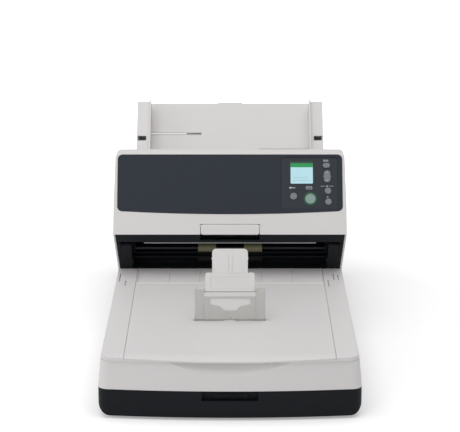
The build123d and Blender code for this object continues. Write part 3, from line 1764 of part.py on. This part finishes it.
def build_extension(width, low, thickness_low, thickness_high, tip_up):
    half = width / 2
    high = tip_up - extension_tip_height
    plate = on_chute(chute_rectangle(-half, half, low, high + 1), thickness_low, thickness_high)
    tip = chute_rectangle(-half * 0.4, half * 0.4, high - 1, tip_up)
    plate += on_chute(tip, thickness_low, thickness_high)
    return plate


parts["chute_panel"] = build_chute()
parts["left_side_guide"] = build_guide(-1)
parts["right_side_guide"] = build_guide(1)
pinion = pinion_face() - Circle(pinion_bore + running)
parts["guide_pinion"] = on_chute(Pos(0, pinion_up) * pinion, rack_low, rack_top)
inner_high = chute_high + extension_tip
parts["inner_extension"] = build_extension(extension_width, extension_low, inner_low, inner_top, inner_high)
parts["outer_extension"] = build_extension(
    outer_extension_width, extension_low + extension_step, outer_low, outer_top, inner_high + 3
)


# Screws under the base
def build_screws():
    screws = []
    for x in (-base_width / 2 + 30, base_width / 2 - 30):
        for y in (base_depth * 0.25, base_depth * 0.5, base_depth * 0.75):
            screws.append(upright(x, y, screw_radius, foot_height - screw_height, foot_height))
    return Compound(children=screws)


parts["case_screws"] = build_screws()

# The finished frame: the middle of the footprint box is at X = 0, Y = 0
boxes = [shape.bounding_box() for shape in parts.values()]
front_edge = min(box.min.Y for box in boxes)
rear_edge = max(box.max.Y for box in boxes)
centring = -(front_edge + rear_edge) / 2
os.makedirs("parts", exist_ok=True)
for name, shape in parts.items():
    export_step(Pos(0, centring, 0) * shape, "parts/" + name + ".step")
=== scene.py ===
import json
from math import atan2, cos, hypot, pi, radians, sin

import bmesh
import bpy
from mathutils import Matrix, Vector


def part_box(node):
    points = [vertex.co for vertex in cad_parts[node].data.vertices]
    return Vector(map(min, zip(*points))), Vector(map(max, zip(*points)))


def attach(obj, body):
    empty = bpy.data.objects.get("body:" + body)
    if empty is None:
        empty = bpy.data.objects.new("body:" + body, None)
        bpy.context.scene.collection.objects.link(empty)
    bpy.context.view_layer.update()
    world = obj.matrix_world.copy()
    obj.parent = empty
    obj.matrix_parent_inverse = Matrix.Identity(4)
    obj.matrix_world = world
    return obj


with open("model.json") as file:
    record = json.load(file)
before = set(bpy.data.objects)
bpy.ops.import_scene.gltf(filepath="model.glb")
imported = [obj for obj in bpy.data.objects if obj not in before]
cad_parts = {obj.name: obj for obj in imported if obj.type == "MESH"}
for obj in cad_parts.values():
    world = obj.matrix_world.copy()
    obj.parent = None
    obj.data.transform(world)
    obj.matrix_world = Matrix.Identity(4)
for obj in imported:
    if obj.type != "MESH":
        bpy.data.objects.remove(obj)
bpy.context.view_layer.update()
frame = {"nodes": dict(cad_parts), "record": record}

MM = 0.001

# Camera, fitted to the photograph: a long lens a little above the object
CAMERA_Y = -2.1179
CAMERA_Z = 0.74027
CAMERA_PITCH = radians(15.28)
CAMERA_LENS = 135.44
CAMERA_NEAR = 0.05
SENSOR = 36.0

# The front slope of the feeder cover, which carries the panel and its buttons
NOSE_Y = 0.011
NOSE_Z = 0.134
FRONT_RISE = 0.096
FRONT_RUN = 0.0475
FRONT_SLOPE = atan2(FRONT_RISE, FRONT_RUN)
FRONT_UP = Vector((0, cos(FRONT_SLOPE), sin(FRONT_SLOPE)))
FRONT_OUT = Vector((0, -sin(FRONT_SLOPE), cos(FRONT_SLOPE)))
NOSE = Vector((0, NOSE_Y, NOSE_Z))


# Colours
def srgb(red, green, blue):
    """A colour written as it looks, as the linear values that shaders take."""
    def linear(value):
        share = value / 255
        return share / 12.92 if share <= 0.04045 else ((share + 0.055) / 1.055) ** 2.4

    return (linear(red), linear(green), linear(blue), 1.0)


def shade(colour, factor):
    """The same colour, deeper below a factor of one and paler above it."""
    return tuple(min(1.0, part * factor) for part in colour[:3]) + (1.0,)


# Materials. The noise lies mostly between its low and high value here, and a plastic's gloss
# changes over wider patches than its grain, at this share of the grain's scale
NOISE_LOW = 0.3
NOISE_HIGH = 0.7
POLISH_SHARE = 0.35
BEVEL_SAMPLES = 8


def new_material(name):
    made = bpy.data.materials.new(name)
    made.use_nodes = True
    nodes = made.node_tree.nodes
    nodes.clear()
    output = nodes.new("ShaderNodeOutputMaterial")
    shader = nodes.new("ShaderNodeBsdfPrincipled")
    made.node_tree.links.new(shader.outputs["BSDF"], output.inputs["Surface"])
    return made, nodes, made.node_tree.links, shader


def noise(nodes, links, scale, detail=2.0, stretch=None):
    """Noise in the object's own space, in cycles per metre."""
    place = nodes.new("ShaderNodeTexCoord")
    texture = nodes.new("ShaderNodeTexNoise")
    texture.inputs["Scale"].default_value = scale
    texture.inputs["Detail"].default_value = detail
    if stretch is None:
        links.new(place.outputs["Object"], texture.inputs["Vector"])
    else:
        mapping = nodes.new("ShaderNodeMapping")
        mapping.inputs["Scale"].default_value = stretch
        links.new(place.outputs["Object"], mapping.inputs["Vector"])
        links.new(mapping.outputs["Vector"], texture.inputs["Vector"])
    return texture.outputs["Fac"]


def vary(nodes, links, value, middle, swing):
    """Turns noise into a number that swings about its middle."""
    ramp = nodes.new("ShaderNodeMapRange")
    ramp.inputs["From Min"].default_value = NOISE_LOW
    ramp.inputs["From Max"].default_value = NOISE_HIGH
    ramp.inputs["To Min"].default_value = middle - swing
    ramp.inputs["To Max"].default_value = middle + swing
    links.new(value, ramp.inputs["Value"])
    return ramp.outputs["Result"]


def blend_colours(nodes, links, value, first, second):
    mix = nodes.new("ShaderNodeMix")
    mix.data_type = "RGBA"
    mix.inputs[6].default_value = first
    mix.inputs[7].default_value = second
    links.new(value, mix.inputs[0])
    return mix.outputs[2]


def rounded(nodes, links, shader, height, strength, depth, edge):
    """Fine relief over edges that catch the light as if they were rounded, in metres."""
    bump = nodes.new("ShaderNodeBump")
    bump.inputs["Strength"].default_value = strength
    bump.inputs["Distance"].default_value = depth
    links.new(height, bump.inputs["Height"])
    if edge > 0:
        bevel = nodes.new("ShaderNodeBevel")
        bevel.samples = BEVEL_SAMPLES
        bevel.inputs["Radius"].default_value = edge
        links.new(bevel.outputs["Normal"], bump.inputs["Normal"])
    links.new(bump.outputs["Normal"], shader.inputs["Normal"])


def plastic(name, colour, roughness, grain=900.0, relief=0.25, edge=0.0008, tint=0.03, gloss=0.5):
    """Moulded plastic: a fine spark-eroded grain, a slow drift in colour and gloss, soft edges."""
    made, nodes, links, shader = new_material(name)
    drift = noise(nodes, links, scale=6.0, detail=3.0)
    tone = blend_colours(nodes, links, drift, shade(colour, 1 - tint), shade(colour, 1 + tint))
    links.new(tone, shader.inputs["Base Color"])
    polish = noise(nodes, links, scale=grain * POLISH_SHARE, detail=3.0)
    links.new(vary(nodes, links, polish, roughness, swing=0.05), shader.inputs["Roughness"])
    rounded(nodes, links, shader, noise(nodes, links, grain), relief, depth=0.00005, edge=edge)
    shader.inputs["IOR"].default_value = 1.5
    shader.inputs["Specular IOR Level"].default_value = gloss
    return made


def metal(name, colour, roughness, stretch=(1, 1, 1)):
    """Brushed metal, whose streaks run along the axis with the smallest factor in stretch."""
    made, nodes, links, shader = new_material(name)
    brushed = noise(nodes, links, scale=700.0, detail=3.0, stretch=stretch)
    tone = blend_colours(nodes, links, brushed, shade(colour, 0.85), colour)
    links.new(tone, shader.inputs["Base Color"])
    links.new(vary(nodes, links, brushed, roughness, swing=0.08), shader.inputs["Roughness"])
    rounded(nodes, links, shader, brushed, strength=0.15, depth=0.00004, edge=0.0003)
    shader.inputs["Metallic"].default_value = 1.0
    return made


def clear_plastic(name, colour, roughness, clear=0.3):
    """Milky translucent plastic."""
    made, nodes, links, shader = new_material(name)
    cloud = noise(nodes, links, scale=40.0, detail=3.0)
    tone = blend_colours(nodes, links, cloud, colour, shade(colour, 1.05))
    links.new(tone, shader.inputs["Base Color"])
    links.new(vary(nodes, links, cloud, roughness, swing=0.03), shader.inputs["Roughness"])
    grain = noise(nodes, links, scale=500.0)
    rounded(nodes, links, shader, grain, strength=0.05, depth=0.00004, edge=0.0004)
    shader.inputs["Transmission Weight"].default_value = clear
    shader.inputs["IOR"].default_value = 1.4
    return made


def clear_glass(name, colour):
    """Clear glass with a faint haze."""
    made, nodes, links, shader = new_material(name)
    haze = noise(nodes, links, scale=25.0)
    links.new(vary(nodes, links, haze, middle=0.035, swing=0.015), shader.inputs["Roughness"])
    shader.inputs["Base Color"].default_value = colour
    shader.inputs["Transmission Weight"].default_value = 0.9
    shader.inputs["IOR"].default_value = 1.5
    return made


def glowing(name, colour, strength):
    """A lit part of the display."""
    made, nodes, links, shader = new_material(name)
    spread = noise(nodes, links, scale=60.0)
    tone = blend_colours(nodes, links, spread, colour, shade(colour, 1.08))
    links.new(tone, shader.inputs["Base Color"])
    shader.inputs["Roughness"].default_value = 0.25
    shader.inputs["Emission Color"].default_value = colour
    shader.inputs["Emission Strength"].default_value = strength
    return made


CHARCOAL = srgb(20, 22, 26)
EXIT_CHARCOAL = srgb(28, 30, 34)
SLATE = srgb(40, 46, 54)
FILM = srgb(45, 50, 56)
KEY_GREY = srgb(119, 121, 127)
KEY_GREEN = srgb(132, 156, 147)
PANEL = {"relief": 0.03, "tint": 0.02, "gloss": 0.2}
OPERATOR = {"relief": 0.04, "edge": 0.0004, "gloss": 0.22}
CASE = {"relief": 0.12, "gloss": 0.12}
KEY = {"relief": 0.05, "edge": 0.0006}
looks = {
    "white_plastic": plastic("white_moulding", srgb(217, 214, 214), 0.5, tint=0.015),
    "grey_plastic": plastic("grey_moulding", srgb(205, 205, 204), 0.5, tint=0.015),
    "dark_plastic": plastic("charcoal_moulding", CHARCOAL, 0.5, **CASE),
    "panel_plastic": plastic("slate_panel", SLATE, 0.36, **PANEL),
    "operator_plastic": plastic("operator_film", FILM, 0.45, **OPERATOR),
    "button_plastic": plastic("grey_keys", KEY_GREY, 0.38, **KEY),
    "scan_button_plastic": plastic("scan_key", KEY_GREEN, 0.34, **KEY),
    "screen": glowing("screen_glow", srgb(170, 208, 218), 0.25),
    "clear_plastic": clear_plastic("milky_clear", srgb(216, 216, 213), 0.3),
    "glass": clear_glass("platen_glass", srgb(225, 238, 232)),
    "rubber": plastic("rubber_black", srgb(24, 24, 24), 0.75, grain=400.0),
    "roller_rubber": plastic("roller_rubber", srgb(118, 115, 84), 0.6, grain=500.0),
    "steel": metal("bright_steel", srgb(170, 171, 173), 0.35),
    "board": plastic("solder_mask", srgb(24, 92, 56), 0.4),
    "belt": plastic("belt_rubber", srgb(28, 28, 28), 0.7),
    "pad": plastic("foam_pad", srgb(232, 231, 228), 0.8, grain=300.0),
}
ROLLER_DARK = plastic("roller_dark_rubber", srgb(30, 31, 31), 0.65, grain=500.0, gloss=0.2)
SHAFT_STEEL = metal("dulled_shaft_steel", srgb(58, 59, 62), 0.45, stretch=(0.2, 1, 1))
RING_GREEN = glowing("scan_ring_green", srgb(22, 78, 52), 0.05)
MARK_PALE = plastic("pale_print", srgb(182, 184, 186), 0.5, relief=0.0, edge=0.0)
SCREEN_GREEN = glowing("screen_green", srgb(16, 138, 70), 0.2)
SCREEN_DEEP = glowing("screen_deep_green", srgb(10, 72, 38), 0.1)
SCREEN_GREY = glowing("screen_grey", srgb(158, 194, 200), 0.15)
BRUSH_GREY = metal("brush_carbon_grey", srgb(150, 152, 154), 0.5, stretch=(0.1, 4, 4))
EXIT_DARK = plastic("exit_charcoal", EXIT_CHARCOAL, 0.5, **CASE)
PALE_CLEAR = clear_plastic("pale_clear", srgb(240, 239, 238), 0.3, clear=0.12)

for row in frame["record"]["subparts"]:
    node = frame["nodes"][row["node"]]
    node.data.materials.clear()
    node.data.materials.append(looks[row["material_slot"]])

# Nodes whose own finish differs from their slot's
SPECIAL_LOOKS = {
    "static_brush": BRUSH_GREY,
    "exit_lip": EXIT_DARK,
    "exit_bezel": EXIT_DARK,
    "stopper_flap": PALE_CLEAR,
    "stopper_plate": PALE_CLEAR,
}
for name, material in SPECIAL_LOOKS.items():
    frame["nodes"][name].data.materials[0] = material


def repaint(name, material, chosen):
    """Gives a second finish to those faces of a node that a test on their middle picks."""
    node = frame["nodes"][name]
    node.data.materials.append(material)
    index = len(node.data.materials) - 1
    for face in node.data.polygons:
        if chosen(face.center):
            face.material_index = index


# The stopper's finger pocket and upper step are moulded thinner, and painted paler for the light
# shining through them
STOPPER_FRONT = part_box("stopper_frame")[0][1]
THIN_LEVELS = (0.8 * MM, 1.2 * MM)
LEVEL_SLACK = 0.1 * MM


def on_thin_level(centre):
    return any(abs(centre.y - STOPPER_FRONT - level) < LEVEL_SLACK for level in THIN_LEVELS)


# Painted light: the thin levels get the paler, less clear finish in place of light passing through
repaint("stopper_frame", PALE_CLEAR, on_thin_level)

# Rollers: olive or dark rubber tyres on dull steel shafts
OLIVE_ROLLERS = ("pick_roller", "brake_roller", "upper_eject_roller")
DARK_ROLLERS = (
    "eject_roller",
    "front_feed_roller",
    "rear_feed_roller",
    "upper_front_feed_roller",
    "upper_rear_feed_roller",
)
SHAFT_REACH = 3.6 * MM


def paint_shaft(name):
    low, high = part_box(name)
    axle_y = (low[1] + high[1]) / 2
    axle_z = (low[2] + high[2]) / 2
    repaint(name, SHAFT_STEEL, lambda c: hypot(c.y - axle_y, c.z - axle_z) < SHAFT_REACH)


for name in OLIVE_ROLLERS + DARK_ROLLERS:
    paint_shaft(name)
for name in DARK_ROLLERS:
    frame["nodes"][name].data.materials[0] = ROLLER_DARK


# Pieces laid on the sloping front, placed across it, up it and out of it in millimetres
FACE_DEPTH = 0.7
PIECE_SUNK = 0.02
PIECE_PROUD = 0.04


def on_front(point):
    offset = point - NOSE
    return offset.x / MM, offset.dot(FRONT_UP) / MM, offset.dot(FRONT_OUT) / MM


def front_span(name):
    """A node's middle on the sloping front, its half sizes and its highest point out of it."""
    spots = [on_front(vertex.co) for vertex in frame["nodes"][name].data.vertices]
    top = max(spot[2] for spot in spots)
    face = [spot for spot in spots if spot[2] > top - FACE_DEPTH]
    low_x, high_x = min(s[0] for s in face), max(s[0] for s in face)
    low_v, high_v = min(s[1] for s in face), max(s[1] for s in face)
    return (low_x + high_x) / 2, (low_v + high_v) / 2, (high_x - low_x) / 2, (high_v - low_v) / 2, top


def front_piece(name, loops, top, material, body):
    """A thin piece on a face of the front, within one outline or between two of equal length."""
    count = len(loops[0])

    def band(first, second):
        """Faces between two rings of points, given by where each ring starts."""
        steps = [(i, (i + 1) % count) for i in range(count)]
        return [(first + i, first + j, second + j, second + i) for i, j in steps]

    points = []
    for loop in loops:
        for out in (top - PIECE_SUNK, top + PIECE_PROUD):
            lift = out * FRONT_OUT
            points += [NOSE + Vector((x * MM, 0, 0)) + (v * FRONT_UP + lift) * MM for x, v in loop]
    faces = []
    for start in range(0, 2 * count * len(loops), 2 * count):
        faces += band(start, start + count)
    if len(loops) == 1:
        faces += [tuple(range(count))[::-1], tuple(range(count, 2 * count))]
    else:
        faces += band(0, 2 * count) + band(count, 3 * count)
    mesh = bpy.data.meshes.new(name)
    mesh.from_pydata(points, [], faces)
    mesh.update()
    made = bmesh.new()
    made.from_mesh(mesh)
    bmesh.ops.recalc_face_normals(made, faces=made.faces)
    made.to_mesh(mesh)
    made.free()
    piece = bpy.data.objects.new(name, mesh)
    bpy.context.scene.collection.objects.link(piece)
    mesh.materials.append(material)
    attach(piece, body)


def rectangle(x, v, half_x, half_v):
    left, right = x - half_x, x + half_x
    low, high = v - half_v, v + half_v
    return [(left, low), (right, low), (right, high), (left, high)]


def circle(x, v, radius, count=40):
    turns = [2 * pi * i / count for i in range(count)]
    return [(x + radius * cos(turn), v + radius * sin(turn)) for turn in turns]


# The screen: a green heading band over a pale field with two faint bars. Each row holds a
# bar's name and finish, its shift across, its share of the width, its place up and half height
SCREEN_X, SCREEN_V, SCREEN_HALF, _, SCREEN_TOP = front_span("display")
SCREEN_MARGIN = 0.1
SCREEN_BARS = (
    ("screen_heading", SCREEN_GREEN, 0.0, 1.0, 9.6, 2.4),
    ("screen_edge", SCREEN_DEEP, 0.0, 1.0, 13.2, 1.1),
    ("screen_bar_high", SCREEN_GREY, -2.0, 0.8, -6.2, 0.35),
    ("screen_bar_low", SCREEN_GREY, 1.0, 0.86, -10.0, 0.4),
)
for name, material, shift_x, share, up, half_up in SCREEN_BARS:
    half_across = (SCREEN_HALF - SCREEN_MARGIN) * share - abs(shift_x)
    outline = rectangle(SCREEN_X + shift_x, SCREEN_V + up, half_across, half_up)
    front_piece(name, [outline], SCREEN_TOP, material, "cover")

# The raised ring round the scan button is green
SCAN_X, SCAN_V, SCAN_HALF, _, _ = front_span("scan_button")
RING_WIDTH = 3.0
RING_RISE = 0.15


def on_ring(centre):
    x, v, out = on_front(centre)
    reach = hypot(x - SCAN_X, v - SCAN_V)
    return reach < SCAN_HALF + RING_WIDTH and out > SCREEN_TOP + RING_RISE


repaint("operator_panel", RING_GREEN, on_ring)

# Small generic signs by the buttons, on the face that stands a little above the screen
SIGN_TOP = SCREEN_TOP + 0.1
SIGN_GAP = 1.9


def mark(name, loops, top=SIGN_TOP, body="cover"):
    front_piece(name, loops, top, MARK_PALE, body)


def menu_sign():
    """Three short lines above the menu button."""
    x, v, _, half_v, _ = front_span("menu_button")
    shift = -0.8
    gap = 3.0
    for step in (-0.9, 0.0, 0.9):
        line = rectangle(x + shift, v + half_v + gap + step, half_x=3.4, half_v=0.22)
        mark(f"menu_sign_{step}", [line])


def back_sign():
    """An arrow to the left, above the back button."""
    x, v = front_span("back_button")[:2]
    middle = v + 11.2
    tip_x, head_x, tail_x = x - 6.2, x - 3.2, x - 0.4
    half_head = 1.8
    head = [(tip_x, middle), (head_x, middle - half_head), (head_x, middle + half_head)]
    mark("back_sign", [head])
    mark("back_sign_tail", [rectangle(tail_x, middle, half_x=2.6, half_v=0.5)])


def scan_sign():
    """The outline of a sheet with a line across it, above the scan button."""
    x, v = SCAN_X - 1.6, SCAN_V + 14.6
    half_x, half_v, border = 3.6, 2.0, 0.5
    outer = rectangle(x, v, half_x, half_v)
    inner = rectangle(x, v, half_x - border, half_v - border)
    mark("scan_sign", [outer, inner])
    mark("scan_sign_line", [rectangle(x, v, half_x=4.6, half_v=0.3)])


def stop_sign():
    """A square between two lines, above the stop button."""
    middle_x, middle_v, _, half_v, _ = front_span("stop_button")
    x, v = middle_x - 1.2, middle_v + half_v + SIGN_GAP
    line_reach = 5.2
    mark("stop_sign", [rectangle(x, v, half_x=0.85, half_v=0.85)])
    for side in (-1, 1):
        mark(f"stop_sign_{side}", [rectangle(x + side * line_reach, v, half_x=3.0, half_v=0.25)])


def power_sign():
    """A ring with a bar up from its middle, above the power button."""
    middle_x, middle_v, _, half_v, _ = front_span("power_button")
    x, v = middle_x - 1.0, middle_v + half_v + SIGN_GAP
    bar_up = 0.75
    bar_lift = 0.03
    mark("power_sign", [circle(x, v, radius=1.0), circle(x, v, radius=0.65)])
    mark("power_sign_bar", [rectangle(x, v + bar_up, half_x=0.2, half_v=0.65)], SIGN_TOP + bar_lift)


def rocker_signs():
    """An arrowhead at each end of the rocker, pointing outward."""
    x, v, _, half_v, top = front_span("rocker_button")
    tip_inset, foot_inset, half_foot = 1.6, 3.2, 1.3
    for side in (-1, 1):
        tip = (x, v + side * (half_v - tip_inset))
        foot = v + side * (half_v - foot_inset)
        arrow = [tip, (x - half_foot, foot), (x + half_foot, foot)]
        mark(f"rocker_sign_{side}", [arrow], top, "rocker_button")


menu_sign()
back_sign()
scan_sign()
stop_sign()
power_sign()
rocker_signs()

# Stage: a white floor that keeps the object's shadow and that the camera sees near plain white,
# because it glows for background rays: less near the object, and fully further off
FLOOR_REACH = 12.0
FLOOR_WHITE = (0.9, 0.9, 0.9, 1.0)
GLOW_NEAR, GLOW_FAR = 0.35, 1.1
GLOW_LOW, GLOW_FULL = 0.3, 1.0
PURE_WHITE = (1.0, 1.0, 1.0, 1.0)
WORLD_LIGHT = 0.45
WORLD_SEEN = 1.0


def background_rays(nodes, links):
    """One for what the camera sees directly, mirrored or through something clear, else nought."""
    path = nodes.new("ShaderNodeLightPath")
    total = path.outputs["Is Camera Ray"]
    for name in ("Is Glossy Ray", "Is Transmission Ray"):
        add = nodes.new("ShaderNodeMath")
        add.operation = "ADD"
        add.use_clamp = True
        links.new(total, add.inputs[0])
        links.new(path.outputs[name], add.inputs[1])
        total = add.outputs["Value"]
    return total


def stage_material():
    made, nodes, links, shader = new_material("stage_white")
    shader.inputs["Base Color"].default_value = FLOOR_WHITE
    shader.inputs["Roughness"].default_value = 0.9
    shader.inputs["Specular IOR Level"].default_value = 0.0
    shader.inputs["Emission Color"].default_value = PURE_WHITE
    place = nodes.new("ShaderNodeTexCoord")
    distance = nodes.new("ShaderNodeVectorMath")
    distance.operation = "LENGTH"
    links.new(place.outputs["Object"], distance.inputs[0])
    glow = nodes.new("ShaderNodeMapRange")
    glow.inputs["From Min"].default_value = GLOW_NEAR
    glow.inputs["From Max"].default_value = GLOW_FAR
    glow.inputs["To Min"].default_value = GLOW_LOW
    glow.inputs["To Max"].default_value = GLOW_FULL
    links.new(distance.outputs["Value"], glow.inputs["Value"])
    seen_glow = nodes.new("ShaderNodeMath")
    seen_glow.operation = "MULTIPLY"
    links.new(background_rays(nodes, links), seen_glow.inputs[0])
    links.new(glow.outputs["Result"], seen_glow.inputs[1])
    links.new(seen_glow.outputs["Value"], shader.inputs["Emission Strength"])
    return made


def build_stage():
    mesh = bpy.data.meshes.new("studio_floor")
    corners = [(x, y, 0) for x, y in rectangle(0, 0, FLOOR_REACH, FLOOR_REACH)]
    mesh.from_pydata(corners, [], [(0, 1, 2, 3)])
    floor = bpy.data.objects.new("studio_floor", mesh)
    bpy.context.scene.collection.objects.link(floor)
    floor.data.materials.append(stage_material())


def build_world():
    """A soft even light, seen as plain white behind the object."""
    world = bpy.data.worlds.new("studio")
    bpy.context.scene.world = world
    world.use_nodes = True
    nodes, links = world.node_tree.nodes, world.node_tree.links
    nodes.clear()
    output = nodes.new("ShaderNodeOutputWorld")
    mix = nodes.new("ShaderNodeMixShader")
    links.new(background_rays(nodes, links), mix.inputs["Fac"])
    for index, strength in ((1, WORLD_LIGHT), (2, WORLD_SEEN)):
        background = nodes.new("ShaderNodeBackground")
        background.inputs["Color"].default_value = PURE_WHITE
        background.inputs["Strength"].default_value = strength
        links.new(background.outputs["Background"], mix.inputs[index])
    links.new(mix.outputs["Shader"], output.inputs["Surface"])


# Lamps: name, place, what they point at, width and height in metres, and power in watts
LAMPS = (
    ("key_light", (0.0, -0.4, 2.2), (0, 0, 0.1), (2.4, 2.0), 22),
    ("front_light", (-1.3, -2.4, 1.1), (0, 0, 0.12), (1.6, 1.0), 9),
    ("left_light", (-2.0, -0.4, 0.9), (0, 0, 0.12), (1.2, 1.4), 7),
)


def area_light(name, place, target, size, power):
    lamp = bpy.data.lights.new(name, "AREA")
    lamp.shape = "RECTANGLE"
    lamp.size, lamp.size_y = size
    lamp.energy = power
    made = bpy.data.objects.new(name, lamp)
    bpy.context.scene.collection.objects.link(made)
    made.location = place
    made.rotation_euler = (Vector(target) - Vector(place)).to_track_quat("-Z", "Y").to_euler()


def build_camera():
    camera_data = bpy.data.cameras.new("photo_camera")
    camera_data.lens = CAMERA_LENS
    camera_data.sensor_width = SENSOR
    camera_data.sensor_fit = "HORIZONTAL"
    camera_data.clip_start = CAMERA_NEAR
    camera = bpy.data.objects.new("photo_camera", camera_data)
    bpy.context.scene.collection.objects.link(camera)
    camera.location = (0.0, CAMERA_Y, CAMERA_Z)
    camera.rotation_euler = (pi / 2 - CAMERA_PITCH, 0, 0)
    bpy.context.scene.camera = camera


build_stage()
build_world()
for lamp_row in LAMPS:
    area_light(*lamp_row)
build_camera()

scene = bpy.context.scene
scene.view_settings.view_transform = "Standard"
